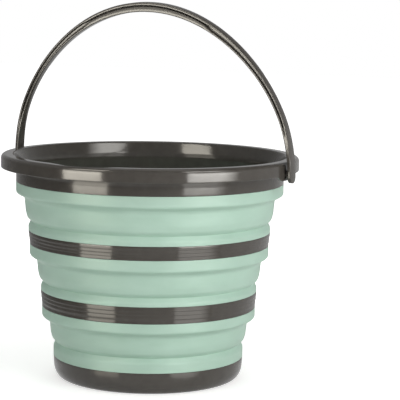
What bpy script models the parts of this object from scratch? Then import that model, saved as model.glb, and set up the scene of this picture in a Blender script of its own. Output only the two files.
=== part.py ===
"""Collapsible camp bucket, about 10 litres.

Four hard rings (rim, two bands and the base) are joined by three soft fold sections. Each section is one soft
moulding on the real bucket. It has a live hinge under its collar and another above its foot, and the wall
between them turns inside out when the bucket is pushed flat. Here each section is cut at those two hinges.

Metres, +Z up. The foot stands on Z = 0, the bucket's axis is Z, and the bail turns about a line along X.
"""

import math
from collections import namedtuple

import bmesh
import bpy
from mathutils import Matrix, Vector

# Overall sizes
rim_radius = 0.1576
flange_overhang = 0.0159
turn_sides = 44

# Heights of the pieces in the stack, from the foot up
base_height = 0.0231
bottom_fold_height = 0.0535
lower_band_height = 0.0167
middle_fold_height = 0.0500
upper_band_height = 0.0130
top_fold_height = 0.0526
skirt_height = 0.0154
flange_height = 0.0139

# How far each fold steps in from the ring above it to the ring below it
top_fold_step = 0.0133
middle_fold_step = 0.0119
bottom_fold_step = 0.0125

# Heights of the soft collars and feet, which stay with the rings that they are moulded to
top_collar_height = 0.0160
middle_collar_height = 0.0167
bottom_collar_height = 0.0153
top_foot_height = 0.0024
middle_foot_height = 0.0023
bottom_foot_height = 0.0082

# Walls, joints between hard and soft, and clearances
hard_wall = 0.0030
soft_wall = 0.0018
nest_gap = 0.0027
lap_height = 0.0040
lap_depth = 0.0014
lining_height = 0.0115
seam = 0.0003
overrun = 0.0010
weld_distance = 0.00001

# Soft sections: the shoulder under a collar, and the groove low on a fold wall
shoulder_height = 0.0094
notch_depth = 0.0016
notch_drop_share = 0.77
shoulder_shares = ((0.0, 0.0), (0.07, 0.22), (0.21, 0.38), (0.86, 0.86), (1.0, 1.0))
shoulder_inner_drop_share = 0.21
shoulder_inner_rise_share = 0.16
lobe_shares = ((0.0, 0.0), (0.16, 0.52), (0.32, 0.67), (0.66, 0.83), (1.0, 1.0))
lobe_inner_shares = ((1.0, 1.0), (0.60, 0.80), (0.27, 0.62), (0.0, 0.0))
crest_shares = ((0.75, 0.45), (1.0, 1.0))

# Bands
band_step = 0.00045
band_tiers = 4

# Rim
rim_wall = 0.0024
apron_wall = 0.0022
rim_edge_radius = 0.0042
rim_edge_points = 5
mouth_edge_radius = 0.0021
mouth_flare = 0.0055
flare_height = 0.0137
ear_drop = 0.0047
ear_wall = 0.0018
ear_top_angle = math.radians(6.4)
arc_points = 3

# Base
base_taper = 0.0009
base_corner_radius = 0.0095
base_corner_points = 5
base_inner_radius = 0.0060
foot_ring_width = 0.0060
foot_ring_height = 0.0024
floor_thickness = 0.0028

# Finger grip, a pocket under the base that shows as a hump inside
grip_length = 0.0740
grip_width = 0.0300
grip_height = 0.0120
grip_wall = 0.0024
grip_draft = 0.0022
grip_past_centre = 0.0080
grip_end_points = 9

# Bail and its snap pins
pivot_drop = 0.0122
bail_lean = math.radians(3.8)
bail_clearance = 0.0036
bail_rise = 0.0018
bail_waist = 0.0022
bail_width = 0.0094
arm_depth = 0.0056
handle_depth = 0.0100
outer_flange = 0.0018
inner_flange = 0.0018
channel_depth = 0.0026
handle_groove = 0.0013
handle_groove_depth = 0.0018
paddle_thickness = 0.0038
paddle_width = 0.0131
paddle_tail = 0.0088
paddle_pad_radius = 0.0054
paddle_pad_thickness = 0.0020
paddle_end_angle = math.radians(4.0)
channel_start_angle = math.radians(18.0)
arm_start_angle = math.radians(22.0)
handle_start_angle = math.radians(65.0)
handle_step_angle = math.radians(1.5)
taper_stations = 4
arm_stations = 10
handle_stations = 6
tail_stations = 5
pin_radius = 0.0030
pin_clearance = 0.0003
pin_head_radius = 0.0044
pin_head_thickness = 0.0012
pin_slit = 0.0012
pin_sides = 16
boss_radius = 0.0061
boss_thickness = 0.0016
web_thickness = 0.0016
web_offset = 0.0090
web_height = 0.0062

# Where the rings meet the soft sections, from the foot up
base_top = base_height
lower_band_bottom = base_top + bottom_fold_height
lower_band_top = lower_band_bottom + lower_band_height
upper_band_bottom = lower_band_top + middle_fold_height
upper_band_top = upper_band_bottom + upper_band_height
skirt_bottom = upper_band_top + top_fold_height
apron_bottom = skirt_bottom + skirt_height
rim_top = apron_bottom + flange_height
pivot_height = rim_top - pivot_drop

# Radii, from the rim down: each ring's top, its bottom and its inside
band_taper = band_step * (band_tiers - 1)
skirt_radius = rim_radius - flange_overhang
skirt_inside = skirt_radius - hard_wall
upper_band_radius = skirt_radius - top_fold_step
upper_band_low_radius = upper_band_radius - band_taper
upper_band_inside = upper_band_low_radius - hard_wall
lower_band_radius = upper_band_low_radius - middle_fold_step
lower_band_low_radius = lower_band_radius - band_taper
lower_band_inside = lower_band_low_radius - hard_wall
base_radius = lower_band_low_radius - bottom_fold_step
base_inside = base_radius - base_taper - hard_wall

Fold = namedtuple(
    "Fold",
    "name top bottom collar_height foot_height lip_height ring_above inside_above ring_below inside_below",
)
folds = (
    Fold("top_fold", skirt_bottom, upper_band_top, top_collar_height, top_foot_height, lap_height,
         skirt_radius, skirt_inside, upper_band_radius, upper_band_inside),
    Fold("middle_fold", upper_band_bottom, lower_band_top, middle_collar_height, middle_foot_height, lap_height,
         upper_band_low_radius, upper_band_inside, lower_band_radius, lower_band_inside),
    Fold("bottom_fold", lower_band_bottom, base_top, bottom_collar_height, bottom_foot_height, lining_height,
         lower_band_low_radius, lower_band_inside, base_radius, base_inside),
)


def start_scene():
    """Remove what the scene holds, and make one collection for the pieces and one for their cutters."""
    for old in list(bpy.data.objects):
        bpy.data.objects.remove(old, do_unlink=True)
    collections = []
    for name in ("collapsible_camp_bucket", "cutters"):
        collection = bpy.data.collections.new(name)
        bpy.context.scene.collection.children.link(collection)
        collections.append(collection)
    return collections


def moulding_material(name, colour, roughness):
    material = bpy.data.materials.new(name)
    material.use_nodes = True
    shader = material.node_tree.nodes["Principled BSDF"]
    shader.inputs["Base Color"].default_value = colour
    shader.inputs["Roughness"].default_value = roughness
    shader.inputs["Metallic"].default_value = 0.0
    return material


def arc(centre_x, centre_z, radius, start, end, points):
    """Points round a circle, from the start angle to the end angle, both counted from +X towards +Z."""
    turn = (end - start) / (points - 1)
    return [
        (centre_x + radius * math.cos(start + turn * i), centre_z + radius * math.sin(start + turn * i))
        for i in range(points)
    ]


def turned(name, outline, material, open_at_axis=False):
    """Turn an outline of (radius, height) points, which runs down its outer side, about the bucket's axis."""
    mesh = bpy.data.meshes.new(name)
    shape = bmesh.new()
    corners = [shape.verts.new((radius, 0, height)) for radius, height in outline]
    for first, second in zip(corners, corners[1:]):
        shape.edges.new((first, second))
    if not open_at_axis:
        shape.edges.new((corners[-1], corners[0]))
    shape.to_mesh(mesh)
    shape.free()
    mesh.materials.append(material)
    piece = bpy.data.objects.new(name, mesh)
    bucket.objects.link(piece)
    # Half a facet of turn puts a flat of every ring square to X, where the bail's pins pass through.
    piece.rotation_euler.z = math.pi / turn_sides
    screw = piece.modifiers.new("Turn", "SCREW")
    screw.steps = turn_sides
    screw.render_steps = turn_sides
    screw.use_merge_vertices = True
    screw.merge_threshold = weld_distance
    return piece


def cylinder(name, radius, start, end, sides):
    """A round bar between two points on a line along X."""
    shape = bmesh.new()
    bmesh.ops.create_cone(
        shape, cap_ends=True, segments=sides, radius1=radius, radius2=radius, depth=(end - start).length
    )
    lie = Vector((0, 0, 1)).rotation_difference(end - start).to_matrix().to_4x4()
    bmesh.ops.transform(shape, matrix=Matrix.Translation((start + end) / 2) @ lie, verts=shape.verts)
    return helper(name, shape)


def block(name, size, centre):
    shape = bmesh.new()
    bmesh.ops.create_cube(shape, size=1)
    bmesh.ops.scale(shape, vec=size, verts=shape.verts)
    bmesh.ops.translate(shape, vec=centre, verts=shape.verts)
    return helper(name, shape)


def helper(name, shape):
    """Turn a shape into an object that only joins or cuts other pieces."""
    mesh = bpy.data.meshes.new(name)
    shape.to_mesh(mesh)
    shape.free()
    piece = bpy.data.objects.new(name, mesh)
    cutters.objects.link(piece)
    piece.hide_render = True
    piece.display_type = "WIRE"
    return piece


def combine(piece, other, operation):
    boolean = piece.modifiers.new(other.name, "BOOLEAN")
    boolean.operation = operation
    boolean.object = other
    boolean.solver = "EXACT"


def loft(sections):
    """A closed solid through a row of sections that have the same number of points."""
    shape = bmesh.new()
    rings = [[shape.verts.new(point) for point in section] for section in sections]
    count = len(rings[0])
    for ring, following in zip(rings, rings[1:]):
        for i in range(count):
            j = (i + 1) % count
            shape.faces.new((ring[i], ring[j], following[j], following[i]))
    shape.faces.new(tuple(reversed(rings[0])))
    shape.faces.new(rings[-1])
    bmesh.ops.remove_doubles(shape, verts=shape.verts, dist=weld_distance)
    bmesh.ops.recalc_face_normals(shape, faces=shape.faces)
    return shape


def along(shares, start_radius, end_radius, start_height, end_height):
    """Points between two corners, placed by their shares of the way in and of the way down."""
    return [
        (start_radius + (end_radius - start_radius) * inward, start_height + (end_height - start_height) * down)
        for inward, down in shares
    ]


def hinge_radius(fold):
    """Outside of the fold wall at its upper hinge: it passes round the ring below with nest_gap to spare."""
    return fold.ring_below + nest_gap + soft_wall


def make_collar(fold):
    """The soft collar under a hard ring: it laps over the ring's tongue, and a shoulder leads to the hinge."""
    top = fold.top - seam
    hinge_height = fold.top - fold.collar_height
    shoulder_top = hinge_height + shoulder_height
    tongue_low = fold.top - lap_height - seam
    tongue_outside = fold.inside_above + lap_depth + seam
    hinge = hinge_radius(fold)
    outline = [(fold.ring_above, top)]
    outline += along(shoulder_shares, fold.ring_above, hinge, shoulder_top, hinge_height)
    outline += [
        (hinge - soft_wall, hinge_height),
        (hinge - soft_wall, hinge_height + shoulder_height * shoulder_inner_rise_share),
        (fold.inside_above, shoulder_top - shoulder_height * shoulder_inner_drop_share),
        (fold.inside_above, tongue_low),
        (tongue_outside, tongue_low),
        (tongue_outside, top),
    ]
    return turned(fold.name + "_collar", outline, soft_rubber)


def make_wall(fold):
    """The wall that turns inside out: nearly straight, then a lobe that runs into a groove over the foot."""
    top = fold.top - fold.collar_height - seam
    low = fold.bottom + fold.foot_height + seam
    notch_height = top - (top - low) * notch_drop_share
    hinge = hinge_radius(fold)
    notch = fold.ring_below - notch_depth
    outline = along(lobe_shares, hinge, notch, top, notch_height)
    outline += along(crest_shares, notch, fold.ring_below, notch_height, low)
    outline += [(fold.ring_below - soft_wall, low)]
    outline += along(lobe_inner_shares, hinge - soft_wall, notch - soft_wall, top, notch_height)
    return turned(fold.name + "_wall", outline, soft_rubber)


def make_foot(fold):
    """The soft foot on a hard ring: its lip lines the ring's inside, and the lower hinge is its top edge."""
    top = fold.bottom + fold.foot_height - seam
    low = fold.bottom + seam
    lip_low = fold.bottom - fold.lip_height + seam
    lip_outside = fold.inside_below + lap_depth - seam
    outline = [
        (fold.ring_below, top),
        (fold.ring_below, low),
        (lip_outside, low),
        (lip_outside, lip_low),
        (fold.inside_below, lip_low),
        (fold.inside_below, low),
        (fold.ring_below - soft_wall, top),
    ]
    return turned(fold.name + "_foot", outline, soft_rubber)


def tongue_below(inside, edge):
    """The thin tongue that a hard ring sends down inside a collar."""
    return [(inside + lap_depth, edge), (inside + lap_depth, edge - lap_height), (inside, edge - lap_height)]


def rabbet_above(inside, edge, height):
    """The step inside a hard ring's upper edge, where a foot's lip lines it."""
    return [(inside, edge - height), (inside + lap_depth, edge - height), (inside + lap_depth, edge)]


def make_band(name, radius, inside, top, bottom):
    """A hard ring whose outside steps in a little at each tier."""
    tier = (top - bottom) / band_tiers
    outline = []
    for i in range(band_tiers):
        outline.append((radius - band_step * i, top - tier * i))
        outline.append((radius - band_step * i, top - tier * (i + 1)))
    outline += tongue_below(inside, bottom) + rabbet_above(inside, top, lap_height)
    return turned(name, outline, hard_plastic)


def ear_sections(sign):
    """The apron reaches lower round each pivot: one facet wide below, in a wall just inside the apron's faces."""
    facet = 2 * math.pi / turn_sides
    outside = rim_radius - (apron_wall - ear_wall) / 2
    root = apron_bottom + overrun
    low_edges = (
        (-ear_top_angle, root - overrun / 2),
        (-facet / 2, apron_bottom - ear_drop),
        (facet / 2, apron_bottom - ear_drop),
        (ear_top_angle, root - overrun / 2),
    )
    sections = []
    for angle, low in low_edges:
        past_facet_centre = (angle + facet / 2) % facet - facet / 2
        to_facet = math.cos(facet / 2) / math.cos(past_facet_centre)
        corners = []
        for radius, height in ((outside, root), (outside, low), (outside - ear_wall, low), (outside - ear_wall, root)):
            reach = radius * to_facet
            corners.append((sign * reach * math.cos(angle), reach * math.sin(angle), height))
        sections.append(corners)
    return sections


def make_rim():
    """The skirt and the flange in one moulding: an open-bottomed channel whose apron carries the bail."""
    apron_inside = rim_radius - apron_wall
    flare_foot = rim_top - flare_height
    mouth = skirt_inside + mouth_flare
    top_underside = rim_top - rim_wall
    outline = arc(
        rim_radius - rim_edge_radius, rim_top - rim_edge_radius, rim_edge_radius, math.pi / 2, 0, rim_edge_points
    )
    outline += [
        (rim_radius, apron_bottom),
        (apron_inside, apron_bottom),
        (apron_inside, top_underside),
        (mouth + hard_wall, top_underside),
        (skirt_radius, flare_foot),
        (skirt_radius, skirt_bottom),
    ]
    outline += tongue_below(skirt_inside, skirt_bottom)
    outline += [(skirt_inside, flare_foot)]
    mouth_edge = (mouth + mouth_edge_radius, rim_top - mouth_edge_radius)
    outline += arc(*mouth_edge, mouth_edge_radius, math.pi, math.pi / 2, arc_points)
    rim = turned("rim", outline, hard_plastic)

    flat = math.cos(math.pi / turn_sides)
    apron_face = apron_inside * flat
    for side, sign in (("right", 1), ("left", -1)):
        pivot = Vector((0, 0, pivot_height))
        outward = Vector((sign, 0, 0))
        combine(rim, helper(side + "_ear", loft(ear_sections(sign))), "UNION")
        boss = cylinder(
            side + "_boss",
            boss_radius,
            pivot + outward * (apron_face - boss_thickness),
            pivot + outward * (apron_face + apron_wall / 2),
            turn_sides // 2,
        )
        combine(rim, boss, "UNION")
        web_outside = apron_face + apron_wall / 2
        web_inside = (mouth + overrun) * flat
        for edge in (-1, 1):
            web = block(
                f"{side}_web_{edge + 1}",
                (web_outside - web_inside, web_thickness, web_height),
                (
                    sign * (web_outside + web_inside) / 2,
                    edge * web_offset,
                    top_underside + rim_wall / 2 - web_height / 2,
                ),
            )
            combine(rim, web, "UNION")
        hole = cylinder(
            side + "_pin_hole",
            pin_radius + pin_clearance,
            pivot + outward * (apron_face - boss_thickness - overrun),
            pivot + outward * (rim_radius + overrun),
            pin_sides,
        )
        combine(rim, hole, "DIFFERENCE")
    return rim


def grip_outline(inset, height):
    """The grip seen from above: square at its inner end and round at its outer end, drawn in by the inset."""
    half = grip_width / 2 - inset
    inner_end = -grip_past_centre + inset
    round_centre = grip_length - grip_past_centre - grip_width / 2
    points = [(inner_end, half), (inner_end, -half)]
    points += arc(round_centre, 0, half, -math.pi / 2, math.pi / 2, grip_end_points)
    return [(x, y, height) for x, y in points]


def make_base():
    """The floor, its foot ring and the low wall, with the finger grip pressed up into the floor."""
    low_radius = base_radius - base_taper
    foot_outside = low_radius - base_corner_radius
    floor_top = foot_ring_height + floor_thickness
    outline = [(0, floor_top)]
    outline += arc(
        base_inside - base_inner_radius, floor_top + base_inner_radius, base_inner_radius, -math.pi / 2, 0, arc_points
    )
    outline += rabbet_above(base_inside, base_top, lining_height)
    outline += [(base_radius, base_top)]
    outline += arc(foot_outside, base_corner_radius, base_corner_radius, 0, -math.pi / 2, base_corner_points)
    outline += [
        (foot_outside - foot_ring_width, 0),
        (foot_outside - foot_ring_width - foot_ring_height, foot_ring_height),
        (0, foot_ring_height),
    ]
    base = turned("base", outline, hard_plastic, open_at_axis=True)

    hump_top = floor_top + grip_height
    hump = helper(
        "grip_hump",
        loft([grip_outline(0, foot_ring_height + floor_thickness / 2), grip_outline(grip_draft, hump_top)]),
    )
    combine(base, hump, "UNION")
    pocket = helper(
        "grip_pocket",
        loft([grip_outline(grip_wall, -overrun), grip_outline(grip_wall + grip_draft, hump_top - grip_wall)]),
    )
    combine(base, pocket, "DIFFERENCE")
    return base


def bail_section(angle, depth, width, channel_height, channel, tail=0):
    """One section of the bail: a strap with a channel in each side, under the flange along its outer edge.

    The angle is 0 at the right pivot and half a turn at the left one. The inner face keeps clear of the rim
    all the way round, so the bail can lie flat round it. It rises towards the middle of the handle, and its
    waist draws it in a little at the shoulders. A tail moves the section straight down past the pivot.
    """
    inner = rim_radius + bail_clearance + bail_rise * math.sin(angle) ** 2 - bail_waist * math.sin(2 * angle) ** 2
    outer = inner + depth
    channel_top = outer - min(outer_flange, depth / 3)
    channel_foot = channel_top - channel_height
    half = width / 2
    corners = [
        (inner, -half),
        (inner, half),
        (channel_foot, half),
        (channel_foot, half - channel),
        (channel_top, half - channel),
        (channel_top, half),
        (outer, half),
        (outer, -half),
        (channel_top, -half),
        (channel_top, -half + channel),
        (channel_foot, -half + channel),
        (channel_foot, -half),
    ]
    return [(r * math.cos(angle), y, r * math.sin(angle) - tail) for r, y in corners]


def share_of_arm(angle):
    """How far the strap has turned from a paddle into an arm, eased from 0 to 1."""
    share = (angle - paddle_end_angle) / (arm_start_angle - paddle_end_angle)
    share = min(max(share, 0), 1)
    return share * share * (3 - 2 * share)


def bail_depth(angle):
    """The strap deepens out of the thin paddle, and again towards the middle of the handle."""
    swell = max(angle - arm_start_angle, 0) / (math.pi / 2 - arm_start_angle)
    depth = paddle_thickness + (arm_depth - paddle_thickness) * share_of_arm(angle)
    return depth + (handle_depth - arm_depth) * math.sin(swell * math.pi / 2) ** 2


def strap_width(angle):
    return paddle_width + (bail_width - paddle_width) * share_of_arm(angle)


def make_bail():
    """The carrying bail: thin paddles at the pivots, channelled arms, and a handle that fills the channels."""
    right_half = []
    end_radius = paddle_width / 2
    for i in range(tail_stations):
        turn = math.pi / 2 * (i + 1) / tail_stations
        tail = paddle_tail - end_radius * (1 - math.cos(turn))
        right_half.append(bail_section(0, paddle_thickness, paddle_width * math.sin(turn), 0, 0, tail))
    right_half.append(bail_section(0, paddle_thickness, paddle_width, 0, 0))
    for i in range(taper_stations):
        angle = paddle_end_angle + (channel_start_angle - paddle_end_angle) * i / taper_stations
        right_half.append(bail_section(angle, bail_depth(angle), strap_width(angle), 0, 0))
    for i in range(arm_stations):
        angle = channel_start_angle + (handle_start_angle - channel_start_angle) * i / (arm_stations - 1)
        depth = bail_depth(angle)
        channel_height = depth - outer_flange - inner_flange
        right_half.append(bail_section(angle, depth, strap_width(angle), channel_height, channel_depth))
    handle_angle = handle_start_angle + handle_step_angle
    for i in range(handle_stations):
        angle = handle_angle + (math.pi / 2 - handle_angle) * i / (handle_stations - 1)
        right_half.append(bail_section(angle, bail_depth(angle), bail_width, handle_groove, handle_groove_depth))
    left_half = [[(-x, y, z) for x, y, z in section] for section in reversed(right_half[:-1])]
    shape = loft(right_half + left_half)

    mesh = bpy.data.meshes.new("bail")
    shape.to_mesh(mesh)
    shape.free()
    mesh.materials.append(hard_plastic)
    bail = bpy.data.objects.new("bail", mesh)
    bucket.objects.link(bail)

    apron_face = (rim_radius - apron_wall) * math.cos(math.pi / turn_sides)
    head_outside = apron_face - boss_thickness - seam
    head_inside = head_outside - pin_head_thickness
    paddle_middle = rim_radius + bail_clearance + paddle_thickness / 2
    fittings = []
    for side, sign in (("right", 1), ("left", -1)):
        outward = Vector((sign, 0, 0))
        pin = cylinder(side + "_pin", pin_radius, outward * head_inside, outward * paddle_middle, pin_sides)
        head = cylinder(
            side + "_pin_head", pin_head_radius, outward * head_inside, outward * head_outside, pin_sides
        )
        pad = cylinder(
            side + "_paddle_pad",
            paddle_pad_radius,
            outward * (rim_radius + bail_clearance - paddle_pad_thickness),
            outward * (paddle_middle - overrun / 2),
            pin_sides,
        )
        slit_length = head_outside - head_inside + boss_thickness + overrun
        slit = block(
            side + "_pin_slit",
            (slit_length, pin_slit, (pin_head_radius + overrun) * 2),
            outward * (head_inside - overrun + slit_length / 2),
        )
        combine(bail, pad, "UNION")
        combine(bail, pin, "UNION")
        combine(bail, head, "UNION")
        combine(bail, slit, "DIFFERENCE")
        fittings += [pad, pin, head, slit]

    # The bail and its fittings hang from an empty on the pivot line, which gives the bail its lean at rest.
    pivot = bpy.data.objects.new("bail_pivot", None)
    bucket.objects.link(pivot)
    pivot.location = (0, 0, pivot_height)
    pivot.rotation_euler.x = bail_lean
    for piece in [bail] + fittings:
        piece.parent = pivot
    return bail


def settle(piece):
    """Apply the modifiers and shade the piece smooth, with its real edges sharp."""
    graph = bpy.context.evaluated_depsgraph_get()
    settled = bpy.data.meshes.new_from_object(piece.evaluated_get(graph))
    settled.name = piece.name
    piece.modifiers.clear()
    piece.data = settled
    settled.shade_smooth()
    settled.set_sharp_from_angle(angle=math.radians(40))


bucket, cutters = start_scene()
hard_plastic = moulding_material("charcoal_polypropylene", (0.085, 0.075, 0.068, 1.0), 0.32)
soft_rubber = moulding_material("mint_thermoplastic_rubber", (0.42, 0.66, 0.56, 1.0), 0.55)

pieces = [make_base()]
pieces.append(make_band("lower_band", lower_band_radius, lower_band_inside, lower_band_top, lower_band_bottom))
pieces.append(make_band("upper_band", upper_band_radius, upper_band_inside, upper_band_top, upper_band_bottom))
pieces.append(make_rim())
for section in folds:
    pieces += [make_collar(section), make_wall(section), make_foot(section)]
pieces.append(make_bail())
bpy.context.view_layer.update()
for finished in pieces:
    settle(finished)
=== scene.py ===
import math

import bmesh
import bpy
import numpy as np
from mathutils import Matrix, Vector


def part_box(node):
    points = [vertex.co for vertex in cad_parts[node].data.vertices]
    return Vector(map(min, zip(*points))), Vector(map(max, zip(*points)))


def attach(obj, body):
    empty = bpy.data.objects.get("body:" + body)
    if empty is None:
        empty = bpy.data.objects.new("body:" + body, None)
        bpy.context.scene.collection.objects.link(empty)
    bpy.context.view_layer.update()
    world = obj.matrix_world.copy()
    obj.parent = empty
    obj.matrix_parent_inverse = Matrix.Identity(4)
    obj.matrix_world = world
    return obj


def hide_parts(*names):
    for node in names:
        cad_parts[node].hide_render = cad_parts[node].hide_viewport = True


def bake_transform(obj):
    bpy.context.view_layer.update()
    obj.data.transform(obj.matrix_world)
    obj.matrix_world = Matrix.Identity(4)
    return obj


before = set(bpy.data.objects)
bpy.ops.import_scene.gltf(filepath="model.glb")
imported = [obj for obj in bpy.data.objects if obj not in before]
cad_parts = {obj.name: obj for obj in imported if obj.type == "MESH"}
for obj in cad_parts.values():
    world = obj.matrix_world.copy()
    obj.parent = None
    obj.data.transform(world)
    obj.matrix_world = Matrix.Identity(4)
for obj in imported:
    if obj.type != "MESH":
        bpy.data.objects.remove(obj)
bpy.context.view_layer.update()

# The base is a shallow dish, injection moulded in glossy charcoal polypropylene. It stands on a flat foot
# ring, and a finger grip is pressed up into its floor, so that fingertips under the bucket can pull it down.
cad_sides = 44
turn_steps = 256
base_taper = 0.0009
base_wall = 0.0030
base_corner = 0.0095
corner_rise = 0.0085
corner_draw = 0.0050
corner_high_radius = 0.0177
corner_low_radius = 0.0084
base_inner_corner = 0.0060
foot_ring_width = 0.0060
foot_ring_rise = 0.0024
floor_thickness = 0.0028
lap_depth = 0.0014
lining_height = 0.0115
moulded_edge = 0.0005
grip_length = 0.0740
grip_width = 0.0300
grip_rise = 0.0120
grip_wall = 0.0024
grip_draft = 0.0022
grip_past_centre = 0.0080
grip_corner = 0.0040
grip_edge = 0.0020
grip_edge_points = 7
grip_arc_points = 17
fine_arc_points = 9
longest_arc_share = 0.49
merge_distance = 0.000004
sharp_angle = math.radians(35.0)


def ring_size(node):
    """Radius, foot and top of a CAD ring, from its box.

    The box touches its flat sides. Its corners lie further out, by one over the cosine of half a side.
    """
    low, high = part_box(node)
    return high.x / math.cos(math.pi / cad_sides), low.z, high.z


def rounded(corners, radii, points):
    """Closed outlines with their corners turned into arcs of so many points.

    Each arc is the rational curve from one tangent point to the other, drawn towards the corner by a weight
    equal to the sine of half the angle between the two sides, which makes it a true circle. No arc takes
    half of a side, so two arcs never meet.
    """
    before = np.roll(corners, 1, -2) - corners
    after = np.roll(corners, -1, -2) - corners
    before_length = np.linalg.norm(before, axis=-1, keepdims=True)
    after_length = np.linalg.norm(after, axis=-1, keepdims=True)
    before, after = before / before_length, after / after_length
    half = np.arccos(np.clip((before * after).sum(-1, keepdims=True), -1, 1)) / 2
    reach = np.asarray(radii)[..., None] / np.tan(half)
    reach = np.minimum(reach, longest_arc_share * np.minimum(before_length, after_length))
    start, end = corners + before * reach, corners + after * reach
    start, middle, end = (place[..., None, :] for place in (start, corners, end))
    weight = np.sin(half)[..., None]
    share = np.linspace(0, 1, points)[:, None]
    from_start, from_end = (1 - share) ** 2, share**2
    pull = 2 * share * (1 - share) * weight
    arcs = (start * from_start + middle * pull + end * from_end) / (from_start + pull + from_end)
    return arcs.reshape(*corners.shape[:-2], -1, 2)


def surface(name, points, wrap_rows, wrap_columns):
    """A mesh over a grid of points, with rows as one parameter and columns as the other.

    Either may close on itself. Points that meet at a pole are merged, and an open end gets one flat face.
    """
    rows, columns = points.shape[:2]
    index = np.arange(rows * columns).reshape(rows, columns)
    if wrap_rows:
        index = np.vstack([index, index[:1]])
    if wrap_columns:
        index = np.hstack([index, index[:, :1]])
    faces = np.stack([index[:-1, :-1], index[:-1, 1:], index[1:, 1:], index[1:, :-1]], -1).reshape(-1, 4)
    mesh = bpy.data.meshes.new(name)
    mesh.from_pydata(points.reshape(-1, 3).tolist(), [], faces.tolist())
    shape = bmesh.new()
    shape.from_mesh(mesh)
    bmesh.ops.remove_doubles(shape, verts=shape.verts, dist=merge_distance)
    bmesh.ops.holes_fill(shape, edges=[edge for edge in shape.edges if edge.is_boundary], sides=0)
    bmesh.ops.recalc_face_normals(shape, faces=shape.faces)
    shape.to_mesh(mesh)
    shape.free()
    mesh.shade_smooth()
    mesh.set_sharp_from_angle(angle=sharp_angle)
    piece = bpy.data.objects.new(name, mesh)
    bpy.context.scene.collection.objects.link(piece)
    return piece


def turned(name, outline, closed=True):
    """An outline of (radius, height) points carried round the Z axis.

    X is the radius times the cosine of the angle, and Y is the radius times its sine. An outline that isn't
    closed starts and ends on the axis.
    """
    angle = (np.arange(turn_steps) + 0.5)[:, None] * 2 * np.pi / turn_steps
    radius, height = outline.T
    x, y = radius * np.cos(angle), radius * np.sin(angle)
    return surface(name, np.stack([x, y, np.broadcast_to(height, x.shape)], -1), True, closed)


def carved(piece, others):
    """Join or cut a piece with others, in turn, leave it one plain mesh, and remove the others."""
    for other, operation in others:
        boolean = piece.modifiers.new(other.name, "BOOLEAN")
        boolean.object = other
        boolean.operation = operation
        boolean.solver = "EXACT"
    bpy.context.view_layer.update()
    graph = bpy.context.evaluated_depsgraph_get()
    mesh = bpy.data.meshes.new_from_object(piece.evaluated_get(graph))
    mesh.name = piece.name
    piece.modifiers.clear()
    piece.data = mesh
    mesh.shade_smooth()
    mesh.set_sharp_from_angle(angle=sharp_angle)
    for other, _ in others:
        bpy.data.objects.remove(other, do_unlink=True)


def slot_block(name, inset, low, high, edge):
    """A block with a straight inner end and a round outer end, drafted, with its top edge rounded over.

    One parameter goes round the slot. The other climbs the drafted side, then a quarter circle of the edge.
    """
    turn = np.linspace(0, math.pi / 2, grip_edge_points)
    draw = np.concatenate([[0], grip_draft + edge * (1 - np.cos(turn))])
    height = np.concatenate([[low], high - edge + edge * np.sin(turn)])
    half = grip_width / 2 - inset - draw
    inner = -grip_past_centre + inset + draw
    outer = grip_length - grip_past_centre - inset - draw
    corners = np.stack([np.stack([inner, -half], -1), np.stack([outer, -half], -1),
                        np.stack([outer, half], -1), np.stack([inner, half], -1)], 1)
    radii = np.array([grip_corner, grip_width, grip_width, grip_corner])
    slot = rounded(corners, radii, grip_arc_points)
    points = np.concatenate([slot, np.broadcast_to(height[:, None, None], slot.shape[:-1] + (1,))], -1)
    return surface(name, points, False, True)


base_radius, base_foot, base_top = ring_size("base")
low_radius = base_radius - base_taper
base_inside = low_radius - base_wall
floor_top = foot_ring_rise + floor_thickness
foot_outside = low_radius - base_corner
base_corners = np.array([
    (0, floor_top), (base_inside, floor_top), (base_inside, base_top - lining_height),
    (base_inside + lap_depth, base_top - lining_height), (base_inside + lap_depth, base_top),
    (base_radius, base_top), (low_radius, corner_rise), (low_radius - corner_draw, base_foot),
    (foot_outside - foot_ring_width, base_foot),
    (foot_outside - foot_ring_width - foot_ring_rise, foot_ring_rise), (0, foot_ring_rise),
])
base_radii = np.array([
    0, base_inner_corner, moulded_edge, moulded_edge, moulded_edge / 2,
    moulded_edge, corner_high_radius, corner_low_radius, moulded_edge, 2 * moulded_edge, 0,
])
base = turned("base_dish", rounded(base_corners, base_radii, fine_arc_points), closed=False)
grip_top = floor_top + grip_rise
hump = slot_block("grip_hump", 0, foot_ring_rise + floor_thickness / 2, grip_top, grip_edge)
pocket = slot_block("grip_pocket", grip_wall, -floor_thickness, grip_top - grip_wall, grip_edge)
carved(base, [(hump, "UNION"), (pocket, "DIFFERENCE")])


def linear(code):
    """An sRGB hex colour as linear values with full alpha."""
    values = np.array([int(code[i:i + 2], 16) for i in (1, 3, 5)]) / 255
    values = np.where(values <= 0.04045, values / 12.92, ((values + 0.055) / 1.055) ** 2.4)
    return (*values.tolist(), 1.0)


def add_node(tree, kind, settings, sockets):
    """Add a node, set its own properties, and give each of its inputs a value or a link."""
    node = tree.nodes.new(kind)
    for name, value in settings.items():
        setattr(node, name, value)
    for name, value in sockets.items():
        if isinstance(value, bpy.types.NodeSocket):
            tree.links.new(value, node.inputs[name])
        else:
            node.inputs[name].default_value = value
    return node


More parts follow.
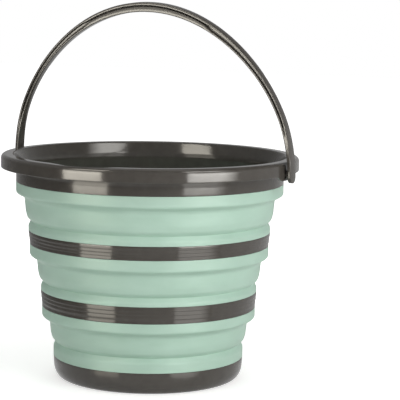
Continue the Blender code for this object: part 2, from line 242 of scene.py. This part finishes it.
# Glossy polypropylene, injection moulded against polished steel: a dark, slightly warm colour and sharp
# reflections that waver a little where the wall sank as it cooled. Faint rubbing marks dull the gloss in
# patches, and a slight grain, drawn coarser than life so that it shows, breaks up the highlights.
polypropylene = bpy.data.materials.new("moulded_charcoal_polypropylene")
polypropylene.use_nodes = True
tree = polypropylene.node_tree
shader = tree.nodes["Principled BSDF"]
sink_spacing = 0.022
sink_depth = 0.0004
sink_strength = 0.20
rub_spacing = 0.009
polished_roughness = 0.10
rubbed_roughness = 0.15
grain_spacing = 0.0012
grain_depth = 0.0001
grain_strength = 0.04
place = add_node(tree, "ShaderNodeTexCoord", {}, {}).outputs["Object"]
sink = add_node(tree, "ShaderNodeTexNoise", {}, {"Vector": place, "Scale": 1 / sink_spacing, "Detail": 1.0})
rubs = add_node(tree, "ShaderNodeTexNoise", {}, {"Vector": place, "Scale": 1 / rub_spacing, "Detail": 5.0})
grain = add_node(tree, "ShaderNodeTexNoise", {}, {
    "Vector": place, "Scale": 1 / grain_spacing, "Detail": 2.0,
})
tone = add_node(tree, "ShaderNodeValToRGB", {}, {"Fac": rubs.outputs["Fac"]})
tone.color_ramp.elements[0].position = 0.30
tone.color_ramp.elements[0].color = linear("#45413C")
tone.color_ramp.elements[1].position = 0.72
tone.color_ramp.elements[1].color = linear("#4B4742")
gloss = add_node(tree, "ShaderNodeMapRange", {}, {
    "Value": rubs.outputs["Fac"], "From Min": 0.3, "From Max": 0.75,
    "To Min": polished_roughness, "To Max": rubbed_roughness,
})
wave = add_node(tree, "ShaderNodeBump", {}, {
    "Height": sink.outputs["Fac"], "Strength": sink_strength, "Distance": sink_depth,
})
skin = add_node(tree, "ShaderNodeBump", {}, {
    "Height": grain.outputs["Fac"], "Strength": grain_strength, "Distance": grain_depth,
    "Normal": wave.outputs["Normal"],
})
tree.links.new(tone.outputs["Color"], shader.inputs["Base Color"])
tree.links.new(gloss.outputs["Result"], shader.inputs["Roughness"])
tree.links.new(skin.outputs["Normal"], shader.inputs["Normal"])
shader.inputs["IOR"].default_value = 1.49


def hard_piece(piece, body, *nodes):
    """A polypropylene piece that stands for CAD nodes and moves with their body."""
    piece.data.materials.clear()
    piece.data.materials.append(polypropylene)
    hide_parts(*nodes)
    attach(piece, body)


hard_piece(base, "base", "base")


# The two bands are charcoal hoops, put in the mould first so that the rubber grips the step inside each
# edge. Each is four tiers that step in a little on their way down and leave fine lips that catch the light.
band_tiers = 4
band_step = 0.00045
band_wall = 0.0030
tier_edge = 0.00035
small_arc_points = 5
band_spacing = 0.002
station_digits = 5
lap_height = 0.0040
upper_band_lift = 0.0014
lower_band_lift = 0.0008


def spaced(outline, step):
    """The same outline, closed, with no two points further apart than the step along its length."""
    closed = np.vstack([outline, outline[:1]])
    along = np.concatenate([[0], np.cumsum(np.linalg.norm(np.diff(closed, axis=0), axis=1))])
    stations = np.unique(np.concatenate([along, np.arange(0, along[-1], step)]).round(station_digits))
    return np.column_stack([np.interp(stations, along, places) for places in closed.T])[:-1]


def band(node, lift):
    """A hoop: shallow tiers outside, a tongue below that the rubber laps over, and a step above for its lip.

    Its top edge stands a lift above that of the CAD ring, as in the photograph.
    """
    radius, tongue, top = ring_size(node)
    top += lift
    bottom = tongue + lap_height
    inside = radius - band_step * (band_tiers - 1) - band_wall
    tier = np.repeat(np.arange(band_tiers), 2)
    edge = np.arange(2 * band_tiers) % 2
    outside = np.column_stack([radius - band_step * tier, top - (top - bottom) / band_tiers * (tier + edge)])
    rest = np.array([
        (inside + lap_depth, bottom), (inside + lap_depth, tongue), (inside, tongue),
        (inside, top - lap_height), (inside + lap_depth, top - lap_height), (inside + lap_depth, top),
    ])
    outline = rounded(np.vstack([outside, rest]), tier_edge, small_arc_points)
    return turned(node + "_hoop", spaced(outline, band_spacing))


hard_piece(band("lower_band", lower_band_lift), "lower_band", "lower_band")
hard_piece(band("upper_band", upper_band_lift), "upper_band", "upper_band")


# Each fold section is one moulding in satin mint thermoplastic rubber, moulded on to the hard rings above
# and below it. Its wall hangs between two live hinges and turns inside out when the bucket is pushed flat.
rubber_wall = 0.0018
rubber_lap = 0.0016
hinge_wall = 0.0013
seam = 0.0001
shoulder_rise = 0.0050
shoulder_radius = 0.0028
hinge_radius = 0.0060
slack_share = 0.60
slack_inset = 0.0015
slack_radius = 0.0280
lobe_rise = 0.0036
lobe_inset = 0.0044
lobe_radius = 0.0070
notch_inset = 0.0030
notch_radius = 0.0004
bottom_notch_share = 0.758
middle_notch_share = 0.749
top_notch_share = 0.732
crest_drop = 0.0052
crest_radius = 0.0060
lap_edge = moulded_edge / 3
fold_arc_points = 7
fold_spacing = 0.0011
skirt_lift = 0.0006

# Thermoplastic rubber against a fine matt mould: a soft sheen and no sharp reflections. Faint flow marks run
# round it, and its grain is drawn coarser than life so that it shows.
rubber = bpy.data.materials.new("satin_mint_thermoplastic_rubber")
rubber.use_nodes = True
tree = rubber.node_tree
shader = tree.nodes["Principled BSDF"]
flow_spacing = 0.030
flow_flattening = 3.0
satin_roughness = 0.37
dull_roughness = 0.45
matt_spacing = 0.0011
matt_strength = 0.25
place = add_node(tree, "ShaderNodeTexCoord", {}, {}).outputs["Object"]
stretched = add_node(tree, "ShaderNodeMapping", {}, {"Vector": place, "Scale": (1.0, 1.0, flow_flattening)})
flow = add_node(tree, "ShaderNodeTexNoise", {}, {
    "Vector": stretched.outputs["Vector"], "Scale": 1 / flow_spacing, "Detail": 4.0,
})
grain = add_node(tree, "ShaderNodeTexNoise", {}, {"Vector": place, "Scale": 1 / matt_spacing, "Detail": 3.0})
tone = add_node(tree, "ShaderNodeValToRGB", {}, {"Fac": flow.outputs["Fac"]})
tone.color_ramp.elements[0].position = 0.30
tone.color_ramp.elements[0].color = linear("#ABC9B8")
tone.color_ramp.elements[1].position = 0.72
tone.color_ramp.elements[1].color = linear("#B2CFBF")
gloss = add_node(tree, "ShaderNodeMapRange", {}, {
    "Value": flow.outputs["Fac"], "From Min": 0.3, "From Max": 0.7,
    "To Min": satin_roughness, "To Max": dull_roughness,
})
skin = add_node(tree, "ShaderNodeBump", {}, {
    "Height": grain.outputs["Fac"], "Strength": matt_strength, "Distance": grain_depth,
})
tree.links.new(tone.outputs["Color"], shader.inputs["Base Color"])
tree.links.new(gloss.outputs["Result"], shader.inputs["Roughness"])
tree.links.new(skin.outputs["Normal"], shader.inputs["Normal"])
shader.inputs["IOR"].default_value = 1.50


def vertex_places(mesh):
    """The places of a mesh's vertices, as rows of X, Y and Z."""
    places = np.empty(3 * len(mesh.vertices))
    mesh.vertices.foreach_get("co", places)
    return places.reshape(-1, 3)


def lip_radius(node, height):
    """Inner radius of a CAD foot at a height: that of its nearest corner to the axis there."""
    places = vertex_places(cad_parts[node].data)
    ring = places[np.abs(places[:, 2] - height) < seam]
    return float(np.hypot(ring[:, 0], ring[:, 1]).min())


def fold_section(name, top, bottom, foot_lap, notch_share):
    """One rubber section as a single turned wall between the rings that it joins.

    It laps outside the tongue of the ring above, whose edge is at the top, and lines the ring below. Its
    notch is a share of the way down from the upper live hinge to the lower one.
    """
    above, upper_hinge, _ = ring_size(name + "_collar")
    below, lip, lower_hinge = ring_size(name + "_foot")
    hinge, _, _ = ring_size(name + "_wall")
    above_inside = above - rubber_lap - lap_depth
    below_inside = lip_radius(name + "_foot", lip)
    notch = upper_hinge - (upper_hinge - lower_hinge) * notch_share
    slack = upper_hinge - (upper_hinge - notch) * slack_share
    outside = [
        (above, top - seam, lap_edge),
        (above, upper_hinge + shoulder_rise, shoulder_radius),
        (hinge, upper_hinge + moulded_edge, hinge_radius),
        (hinge - slack_inset, slack, slack_radius),
        (below - notch_inset + lobe_inset, notch + lobe_rise, lobe_radius),
        (below - notch_inset, notch, notch_radius),
        (below + seam, notch - crest_drop, crest_radius),
        (below, bottom + seam, lap_edge),
    ]
    foot_lip = [
        (below_inside + lap_depth - seam, bottom + seam, 0),
        (below_inside + lap_depth - seam, bottom - foot_lap + seam, 0),
        (below_inside, bottom - foot_lap + seam, 0),
    ]
    inside = [
        (below_inside, bottom, rubber_wall),
        (below - rubber_wall, notch - crest_drop, crest_radius),
        (below - notch_inset - hinge_wall, notch, 2 * notch_radius),
        (below - notch_inset + lobe_inset - rubber_wall, notch + lobe_rise, lobe_radius),
        (hinge - slack_inset - rubber_wall, slack, slack_radius),
        (hinge - rubber_wall, upper_hinge - moulded_edge, hinge_radius),
        (above_inside, upper_hinge + shoulder_rise + moulded_edge, shoulder_radius),
    ]
    collar_lap = [
        (above_inside, top - lap_height - seam, 0),
        (above_inside + lap_depth + seam, top - lap_height - seam, 0),
        (above_inside + lap_depth + seam, top - seam, 0),
    ]
    corners = np.array(outside + foot_lip + inside + collar_lap)
    outline = rounded(corners[:, :2], corners[:, 2], fold_arc_points)
    piece = turned(name + "_section", spaced(outline, fold_spacing))
    piece.data.materials.append(rubber)
    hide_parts(name + "_collar", name + "_wall", name + "_foot")
    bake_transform(piece)


_, lower_band_low, lower_band_top = ring_size("lower_band")
_, upper_band_low, upper_band_top = ring_size("upper_band")
rim_radius, rim_low, rim_top = ring_size("rim")
skirt_bottom = rim_low + lap_height + skirt_lift
fold_section("bottom_fold", lower_band_low + lap_height, base_top, lining_height, bottom_notch_share)
fold_section("middle_fold", upper_band_low + lap_height, lower_band_top + lower_band_lift, lap_height,
             middle_notch_share)
fold_section("top_fold", skirt_bottom, upper_band_top + upper_band_lift, lap_height, top_notch_share)


# The rim is one charcoal moulding: a skirt that the top rubber grips, and a flat flange whose apron hangs
# outside it. At each end of the pivot line the apron has an ear, with a boss and pin hole between two webs.
# Towards -Y the mouth dips a little, as a lip to pour over.
flange_overhang = 0.0159
flange_height = 0.0139
apron_wall = 0.0022
flange_wall = 0.0024
skirt_wall = 0.0030
mouth_flare = 0.0055
flange_edge = 0.0042
mouth_edge = 0.0021
lip_depth = 0.0022
lip_reach = math.radians(18.0)
lip_foot = 0.0110
skirt_curve = 0.0300
flare_curve = 0.0200
rim_spacing = 0.003
pivot_drop = 0.0122
ear_drop = 0.0047
ear_low_angle = math.pi / cad_sides
ear_top_angle = math.radians(6.4)
pin_radius = 0.0030
pin_clearance = 0.0003
boss_radius = 0.0061
boss_thickness = 0.0016
rod_sides = 48
web_offset = 0.0090
web_thickness = 0.0016
web_height = 0.0062


def eased(value, start, end):
    """A smooth step from 0 to 1 between two values: three times the share squared, less twice its cube."""
    share = np.clip((value - start) / (end - start), 0, 1)
    return share * share * (3 - 2 * share)


skirt_radius = rim_radius - flange_overhang
skirt_inside = skirt_radius - skirt_wall
apron_bottom = rim_top - flange_height
apron_inside = rim_radius - apron_wall
underside = rim_top - flange_wall
mouth = skirt_inside + mouth_flare
pivot = rim_top - pivot_drop
rim_corners = np.array([
    (rim_radius, rim_top, flange_edge),
    (rim_radius, apron_bottom, moulded_edge),
    (apron_inside, apron_bottom, moulded_edge),
    (apron_inside, underside, moulded_edge),
    (mouth + skirt_wall, underside, moulded_edge),
    (skirt_radius, apron_bottom, skirt_curve),
    (skirt_radius, skirt_bottom, moulded_edge / 2),
    (skirt_inside + lap_depth, skirt_bottom, moulded_edge / 2),
    (skirt_inside + lap_depth, skirt_bottom - lap_height, moulded_edge / 2),
    (skirt_inside, skirt_bottom - lap_height, moulded_edge / 2),
    (skirt_inside, apron_bottom, flare_curve),
    (mouth, rim_top, mouth_edge),
])
rim_outline = rounded(rim_corners[:, :2], rim_corners[:, 2], fine_arc_points)
rim = turned("rim_moulding", spaced(rim_outline, rim_spacing))

# The ears hang from the apron alone. The lip fades to both sides, out across the flange and down the wall.
x, y, z = vertex_places(rim.data).T
from_axis = np.hypot(x, y)
from_pivot = np.arctan2(np.abs(y), np.abs(x))
ear = np.clip((ear_top_angle - from_pivot) / (ear_top_angle - ear_low_angle), 0, 1)
ear *= np.clip((underside - z) / (underside - apron_bottom), 0, 1)
ear *= from_axis > apron_inside - moulded_edge
from_lip = np.clip(np.arctan2(x, -y) / lip_reach, -1, 1)
lip = (1 + np.cos(math.pi * from_lip)) / 2
lip *= eased(rim_radius - from_axis, 0, rim_radius - mouth) * eased(z, rim_top - lip_foot, underside)
lowered = z - ear_drop * ear - lip_depth * lip
rim.data.vertices.foreach_set("co", np.column_stack([x, y, lowered]).ravel())


def rod(name, side, near, far, radius, edge=0.0):
    """A round bar along X at the pivot's height, between two distances from the axis, with rounded ends."""
    corners = np.array([(0, near), (radius, near), (radius, far), (0, far)])
    outline = rounded(corners, np.array([0, edge, edge, 0]), small_arc_points)[::-1]
    angle = (np.arange(rod_sides) * 2 * np.pi / rod_sides)[:, None]
    radius, length = outline.T
    x, y, z = side * length, radius * np.cos(angle), pivot + radius * np.sin(angle)
    points = np.stack([np.broadcast_to(x, y.shape), y, z], -1)
    return surface(name, points, True, False)


def bar(name, low, high):
    """A block between two corners, as one ring of four sides carried from its foot to its top."""
    ring = np.array([(low[0], low[1]), (high[0], low[1]), (high[0], high[1]), (low[0], high[1])])
    points = np.stack([np.column_stack([ring, np.full(4, height)]) for height in (low[2], high[2])])
    return surface(name, points, False, True)


apron_middle = apron_inside + apron_wall / 2
web_top = underside + flange_wall / 2
fittings = []
for side in (-1, 1):
    boss = rod(f"boss_{side}", side, apron_inside - boss_thickness, apron_middle, boss_radius)
    fittings.append((boss, "UNION"))
    across = sorted((side * (mouth + moulded_edge), side * apron_middle))
    for edge in (-1, 1):
        web = bar(
            f"web_{side}_{edge}",
            (across[0], edge * web_offset - web_thickness / 2, web_top - web_height),
            (across[1], edge * web_offset + web_thickness / 2, web_top),
        )
        fittings.append((web, "UNION"))
for side in (-1, 1):
    hole = rod(f"pin_hole_{side}", side, apron_inside - 2 * boss_thickness, rim_radius + boss_thickness,
               pin_radius + pin_clearance)
    fittings.append((hole, "DIFFERENCE"))
carved(rim, fittings)
hard_piece(rim, "rim", "rim")


# The bail is another charcoal moulding: a strap that passes round the flange, flattened to a thin paddle
# over each pivot, with a deep channel in both sides of its arms. The handle fills them but for a groove.
# A pin inside each paddle snaps through the rim's hole, and its slit head holds it there.
bail_lean = math.radians(3.8)
bail_clearance = 0.0036
bail_rise = 0.0013
bail_waist = 0.0022
bail_width = 0.0094
arm_depth = 0.0056
handle_depth = 0.0100
outer_flange = 0.0018
inner_flange = 0.0018
channel_depth = 0.0030
channel_least = 0.00002
channel_taper = 0.30
handle_flange = 0.0028
handle_groove = 0.0018
handle_groove_depth = 0.0036
handle_groove_taper = 0.80
paddle_thickness = 0.0038
paddle_width = 0.0131
paddle_tail = 0.0088
tail_points = 14
tail_tip_share = 0.04
pad_radius = 0.0054
pad_thickness = 0.0020
paddle_end = math.radians(4.0)
channel_fade = math.radians(14.0)
channel_start = math.radians(19.0)
arm_start = math.radians(22.0)
handle_start = math.radians(62.0)
handle_step = math.radians(4.0)
bail_edge = 0.0007
bail_edge_shares = (1, 1, 0.5, 0.4, 0.4, 0.5)
pin_head_radius = 0.0044
pin_head_thickness = 0.0012
pin_slit = 0.0012
head_gap = 0.0003


def bail_sections(angle, width_share):
    """Twelve corners for each station, out and across: a strap with a channel in both sides.

    Its distance from the pivot line grows with the square of the angle's sine, less a waist that follows the
    square of the sine of twice the angle. Its depth grows up the arm with the square of a sine too. A flange
    beside the channel takes a third of the depth at most.
    """
    swell = np.clip((angle - arm_start) / (math.pi / 2 - arm_start), 0, 1)
    arm = eased(angle, paddle_end, arm_start)
    open_channel = eased(angle, channel_fade, channel_start)
    handle = eased(angle, handle_start, handle_start + handle_step)
    depth = paddle_thickness + (arm_depth - paddle_thickness) * arm
    depth = depth + (handle_depth - arm_depth) * np.sin(swell * math.pi / 2) ** 2
    half = (paddle_width + (bail_width - paddle_width) * arm) * width_share / 2
    flange = np.minimum(outer_flange, depth / 3)
    open_height = depth - flange - np.minimum(inner_flange, depth / 3)
    flange = flange + (handle_flange - flange) * handle
    height = open_height + (handle_groove - open_height) * handle
    channel = (channel_depth + (handle_groove_depth - channel_depth) * handle) * open_channel + channel_least
    rise, waist = bail_rise * np.sin(angle) ** 2, bail_waist * np.sin(2 * angle) ** 2
    inner = rim_radius + bail_clearance + rise - waist
    outer = inner + depth
    top, foot = outer - flange, outer - flange - height
    draw = height / 2 * (channel_taper + (handle_groove_taper - channel_taper) * handle)
    across = np.stack([-half, half, half, half - channel, half - channel, half,
                       half, -half, -half, channel - half, channel - half, -half], 1)
    out = np.stack([inner, inner, foot, foot + draw, top - draw, top,
                    outer, outer, top, top - draw, foot + draw, foot], 1)
    return np.stack([out, across], -1)


# The paddle ends in a half circle below the pivot line. From that line up, the stations go by angle to the
# top of the bow, closer together up to where the channel opens and where the handle starts.
tail_turn = np.linspace(tail_tip_share, 1, tail_points) * math.pi / 2
bow_stops = (0, channel_fade, channel_start, handle_start, handle_start + handle_step, math.pi / 2)
bow_steps = (21, 11, 43, 6, 25)
bow = np.concatenate([
    np.linspace(low, high, steps + 1)[1:] for low, high, steps in zip(bow_stops, bow_stops[1:], bow_steps)
])
flat = np.zeros(len(bow) + 1)
angle = np.concatenate([np.zeros(len(tail_turn) + 1), bow])
tail = np.concatenate([paddle_tail - paddle_width / 2 * (1 - np.cos(tail_turn)), flat])
width_share = np.concatenate([np.sin(tail_turn), flat + 1])
edges = np.tile(bail_edge_shares, 2) * bail_edge
sections = rounded(bail_sections(angle, width_share), edges, small_arc_points)
out, across = sections[..., 0], sections[..., 1]
half_bail = np.stack([
    out * np.cos(angle)[:, None], across, out * np.sin(angle)[:, None] - tail[:, None],
], -1)
other_half = half_bail[-2::-1] * np.array([-1, 1, 1])
bail = surface("bail_strap", np.concatenate([half_bail, other_half]), False, True)
to_pivot = Matrix.Translation((0, 0, pivot))
to_origin = Matrix.Translation((0, 0, -pivot))
bail.data.transform(to_pivot)

paddle_near = rim_radius + bail_clearance
paddle_middle = paddle_near + paddle_thickness / 2
pad_near, pad_far = paddle_near - pad_thickness, paddle_middle - moulded_edge
head_far = apron_inside - boss_thickness - head_gap
head_near = head_far - pin_head_thickness
pins = []
for side in (-1, 1):
    pad = rod(f"paddle_pad_{side}", side, pad_near, pad_far, pad_radius, moulded_edge / 2)
    pin = rod(f"pin_{side}", side, head_near, paddle_middle, pin_radius)
    head = rod(f"pin_head_{side}", side, head_near, head_far, pin_head_radius, moulded_edge / 2)
    across = sorted((side * (head_near - boss_thickness), side * (head_far + boss_thickness)))
    slit = bar(
        f"pin_slit_{side}",
        (across[0], -pin_slit / 2, pivot - 2 * pin_head_radius),
        (across[1], pin_slit / 2, pivot + 2 * pin_head_radius),
    )
    pins += [(pad, "UNION"), (pin, "UNION"), (head, "UNION"), (slit, "DIFFERENCE")]
carved(bail, pins)
bail.data.transform(to_pivot @ Matrix.Rotation(bail_lean, 4, "X") @ to_origin)
hard_piece(bail, "bail", "bail")


# The floor is a sheet of matt white paper. A glow that only the camera sees lifts it to white, more so away
# from the bucket, so it shows no edge or horizon and keeps the soft shadow under the bucket.
floor_half = 6.0
glow_near = 0.55
glow_far = 1.0
shadow_reach = 0.20
white_from = 0.60
floor_points = np.array([[-1, -1, 0], [1, -1, 0], [1, 1, 0], [-1, 1, 0]]) * floor_half
floor_mesh = bpy.data.meshes.new("floor")
floor_mesh.from_pydata(floor_points.tolist(), [], [(0, 1, 2, 3)])
floor = bpy.data.objects.new("floor", floor_mesh)
bpy.context.scene.collection.objects.link(floor)
floor.visible_glossy = False
paper = bpy.data.materials.new("white_paper_sheet")
paper.use_nodes = True
tree = paper.node_tree
shader = tree.nodes["Principled BSDF"]
shader.inputs["Base Color"].default_value = linear("#F4F4F2")
shader.inputs["Roughness"].default_value = 0.9
shader.inputs["Specular IOR Level"].default_value = 0.0
path = add_node(tree, "ShaderNodeLightPath", {}, {})
place = add_node(tree, "ShaderNodeTexCoord", {}, {}).outputs["Object"]
reach = add_node(tree, "ShaderNodeVectorMath", {"operation": "LENGTH"}, {0: place})
away = add_node(tree, "ShaderNodeMapRange", {"interpolation_type": "SMOOTHSTEP"}, {
    "Value": reach.outputs["Value"], "From Min": shadow_reach, "From Max": white_from,
    "To Min": glow_near, "To Max": glow_far,
})
seen = add_node(tree, "ShaderNodeMath", {"operation": "MULTIPLY"}, {
    0: path.outputs["Is Camera Ray"], 1: away.outputs["Result"],
})
glow = add_node(tree, "ShaderNodeEmission", {}, {"Color": (1, 1, 1, 1), "Strength": seen.outputs["Value"]})
sheet = add_node(tree, "ShaderNodeAddShader", {}, {0: shader.outputs["BSDF"], 1: glow.outputs["Emission"]})
tree.links.new(sheet.outputs["Shader"], tree.nodes["Material Output"].inputs["Surface"])
floor_mesh.materials.append(paper)


# Soft studio light: a tall nylon softbox on each side, a low one in front, one behind and a broad one above.
# Reflections show the broad one and, for the tall two, cloths whose brightness goes by height: most around
# the upper band's level, little above the rim, and more again near the top.
camera_azimuth = math.radians(28.0)
softbox_distance = 1.10
softbox_low = -0.30
softbox_high = 1.30
cloth_heights = (-0.30, -0.21, -0.10, 0.0, 0.105, 0.113, 0.19, 0.24, 0.45, 0.74, 0.86)
cloth_peak = 12.0
left_cloth_shares = (0.20, 0.25, 0.41, 0.50, 0.34, 1.08, 1.08, 0.21, 0.16, 0.12, 0.70)
left_cloth_columns = ((-0.32, 1.0), (0.274, 1.0))
right_cloth_shares = (0.24, 0.27, 0.27, 0.23, 0.17, 1.17, 1.17, 0.21, 0.16, 0.12, 0.65)
right_cloth_columns = ((-0.33, 1.0), (0.19, 0.95), (0.50, 0.0))
overhead_place = (0.0, 0.2, 1.9)
left_azimuth = camera_azimuth - math.radians(48.0)
right_azimuth = camera_azimuth + math.radians(43.0)
low_azimuth = camera_azimuth - math.radians(8.0)
back_azimuth = camera_azimuth + math.pi


def softbox(name, width, height, radiance):
    """A rectangular lamp that the camera doesn't see. Its power is its radiance times pi times its area."""
    lamp = bpy.data.lights.new(name, "AREA")
    lamp.shape = "RECTANGLE"
    lamp.size, lamp.size_y = width, height
    lamp.energy = radiance * math.pi * lamp.size * lamp.size_y
    box = bpy.data.objects.new(name, lamp)
    bpy.context.scene.collection.objects.link(box)
    box.visible_camera = False
    return box


def upright_softbox(name, azimuth, width, low, high, radiance):
    """A softbox between two heights that faces the bucket's axis and doesn't show in reflections."""
    box = softbox(name, width, high - low, radiance)
    x, y = softbox_distance * math.sin(azimuth), -softbox_distance * math.cos(azimuth)
    box.location = (x, y, (low + high) / 2)
    box.rotation_euler = (math.pi / 2, 0, azimuth)
    box.visible_glossy = False


def cloth(name, azimuth, tint, columns, shares):
    """The cloth of a tall softbox, seen only in reflections.

    Its brightness is the peak times two shares. One goes across, with each column a distance from the middle
    line and its share. The other goes up, with a share for each of the cloth heights above the floor.
    """
    across, fades = np.array(columns).T
    x = softbox_distance * math.sin(azimuth) + across * math.cos(azimuth)
    y = across * math.sin(azimuth) - softbox_distance * math.cos(azimuth)
    ends = [np.column_stack([x, y, np.full(len(across), z)]) for z in (softbox_low, softbox_high)]
    index = np.arange(2 * len(across)).reshape(2, -1)
    faces = np.stack([index[0, :-1], index[0, 1:], index[1, 1:], index[1, :-1]], -1)
    mesh = bpy.data.meshes.new(name)
    mesh.from_pydata(np.concatenate(ends).tolist(), [], faces.tolist())
    mesh.attributes.new("cloth_fade", "FLOAT", "POINT").data.foreach_set("value", np.tile(fades, 2))
    sheet = bpy.data.objects.new(name, mesh)
    bpy.context.scene.collection.objects.link(sheet)
    sheet.visible_camera = False
    sheet.visible_diffuse = False
    sheet.visible_shadow = False

    nylon = bpy.data.materials.new(name + "_nylon")
    nylon.use_nodes = True
    tree = nylon.node_tree
    place = add_node(tree, "ShaderNodeTexCoord", {}, {}).outputs["Object"]
    height = add_node(tree, "ShaderNodeSeparateXYZ", {}, {"Vector": place})
    way_up = add_node(tree, "ShaderNodeMapRange", {}, {
        "Value": height.outputs["Z"], "From Min": softbox_low, "From Max": softbox_high,
    })
    ramp = add_node(tree, "ShaderNodeValToRGB", {}, {"Fac": way_up.outputs["Result"]})
    elements = ramp.color_ramp.elements
    elements.remove(elements[1])
    positions = (np.array(cloth_heights) - softbox_low) / (softbox_high - softbox_low)
    for number, share in enumerate(shares):
        element = elements.new(positions[number]) if number else elements[0]
        element.color = (share, share, share, 1.0)
    fade = add_node(tree, "ShaderNodeAttribute", {"attribute_name": "cloth_fade"}, {})
    faded = add_node(tree, "ShaderNodeMath", {"operation": "MULTIPLY"}, {
        0: ramp.outputs["Color"], 1: fade.outputs["Fac"],
    })
    glow = add_node(tree, "ShaderNodeMath", {"operation": "MULTIPLY"}, {
        0: faded.outputs["Value"], 1: cloth_peak,
    })
    shine = add_node(tree, "ShaderNodeEmission", {}, {
        "Color": linear(tint), "Strength": glow.outputs["Value"],
    })
    tree.links.new(shine.outputs["Emission"], tree.nodes["Material Output"].inputs["Surface"])
    mesh.materials.append(nylon)


upright_softbox("left_softbox", left_azimuth, width=0.60, low=softbox_low, high=softbox_high, radiance=1.25)
upright_softbox("right_softbox", right_azimuth, width=0.83, low=softbox_low, high=softbox_high, radiance=2.6)
upright_softbox("low_softbox", low_azimuth, width=0.50, low=0.0, high=0.40, radiance=0.75)
upright_softbox("back_softbox", back_azimuth, width=0.80, low=0.10, high=1.10, radiance=1.5)
cloth("left_cloth", left_azimuth, "#FFF9EB", left_cloth_columns, left_cloth_shares)
cloth("right_cloth", right_azimuth, "#FFFDF8", right_cloth_columns, right_cloth_shares)
overhead = softbox("overhead_softbox", width=1.6, height=1.2, radiance=0.72)
overhead.location = overhead_place


# The room is darkest low down on the camera's left and high up on its right, and its floor is bright. The
# camera sees white in its place. Its heights are the sines of the slopes at which they are seen.
low_left = 0.12
low_right = 0.70
high_left = 0.40
high_right = 0.05
below = 0.75
wall_low = 0.1
wall_high = 0.6
floor_edge = -0.18
floor_full = -0.24
world = bpy.data.worlds.new("dim_room")
bpy.context.scene.world = world
world.use_nodes = True
tree = world.node_tree
background = tree.nodes["Background"]
toward = add_node(tree, "ShaderNodeTexCoord", {}, {}).outputs["Generated"]
rightward = add_node(tree, "ShaderNodeVectorMath", {"operation": "DOT_PRODUCT"}, {
    0: toward, 1: (math.cos(camera_azimuth), math.sin(camera_azimuth), 0),
})
upward = add_node(tree, "ShaderNodeSeparateXYZ", {}, {"Vector": toward}).outputs["Z"]
left = add_node(tree, "ShaderNodeMapRange", {}, {
    "Value": upward, "From Min": wall_low, "From Max": wall_high,
    "To Min": low_left, "To Max": high_left,
})
right = add_node(tree, "ShaderNodeMapRange", {}, {
    "Value": upward, "From Min": wall_low, "From Max": wall_high,
    "To Min": low_right, "To Max": high_right,
})
walls = add_node(tree, "ShaderNodeMapRange", {}, {
    "Value": rightward.outputs["Value"], "From Min": -1.0,
    "To Min": left.outputs["Result"], "To Max": right.outputs["Result"],
})
ground = add_node(tree, "ShaderNodeMapRange", {}, {
    "Value": upward, "From Min": floor_edge, "From Max": floor_full, "To Min": 0.0, "To Max": below,
})
dim = add_node(tree, "ShaderNodeMath", {"operation": "MAXIMUM"}, {
    0: walls.outputs["Result"], 1: ground.outputs["Result"],
})
path = add_node(tree, "ShaderNodeLightPath", {}, {})
room = add_node(tree, "ShaderNodeMath", {"operation": "MAXIMUM"}, {
    0: path.outputs["Is Camera Ray"], 1: dim.outputs["Value"],
})
background.inputs["Color"].default_value = (1, 1, 1, 1)
tree.links.new(room.outputs["Value"], background.inputs["Strength"])

# The camera stands 1.8 m away with a long lens, a little above the rim, as in the photograph. The bucket is
# left of the middle there, and the picture leans a little.
camera_distance = 1.83
camera_height = 0.415
camera_pitch = math.radians(7.02)
camera_heading = math.radians(1.667)
camera_roll = math.radians(0.9)
focal_pixels = 1733
frame_pixels = 400
camera_data = bpy.data.cameras.new("camera")
camera_data.sensor_width = 36.0
camera_data.lens = camera_data.sensor_width * focal_pixels / frame_pixels
camera = bpy.data.objects.new("camera", camera_data)
bpy.context.scene.collection.objects.link(camera)
bpy.context.scene.camera = camera
stand = Vector((math.sin(camera_azimuth), -math.cos(camera_azimuth), 0)) * camera_distance
stand.z = camera_height
heading = Matrix.Rotation(camera_azimuth - camera_heading, 4, "Z")
pitch = Matrix.Rotation(math.pi / 2 - camera_pitch, 4, "X")
roll = Matrix.Rotation(camera_roll, 4, "Z")
camera.matrix_world = Matrix.Translation(stand) @ heading @ pitch @ roll

bpy.context.scene.view_settings.view_transform = "Standard"
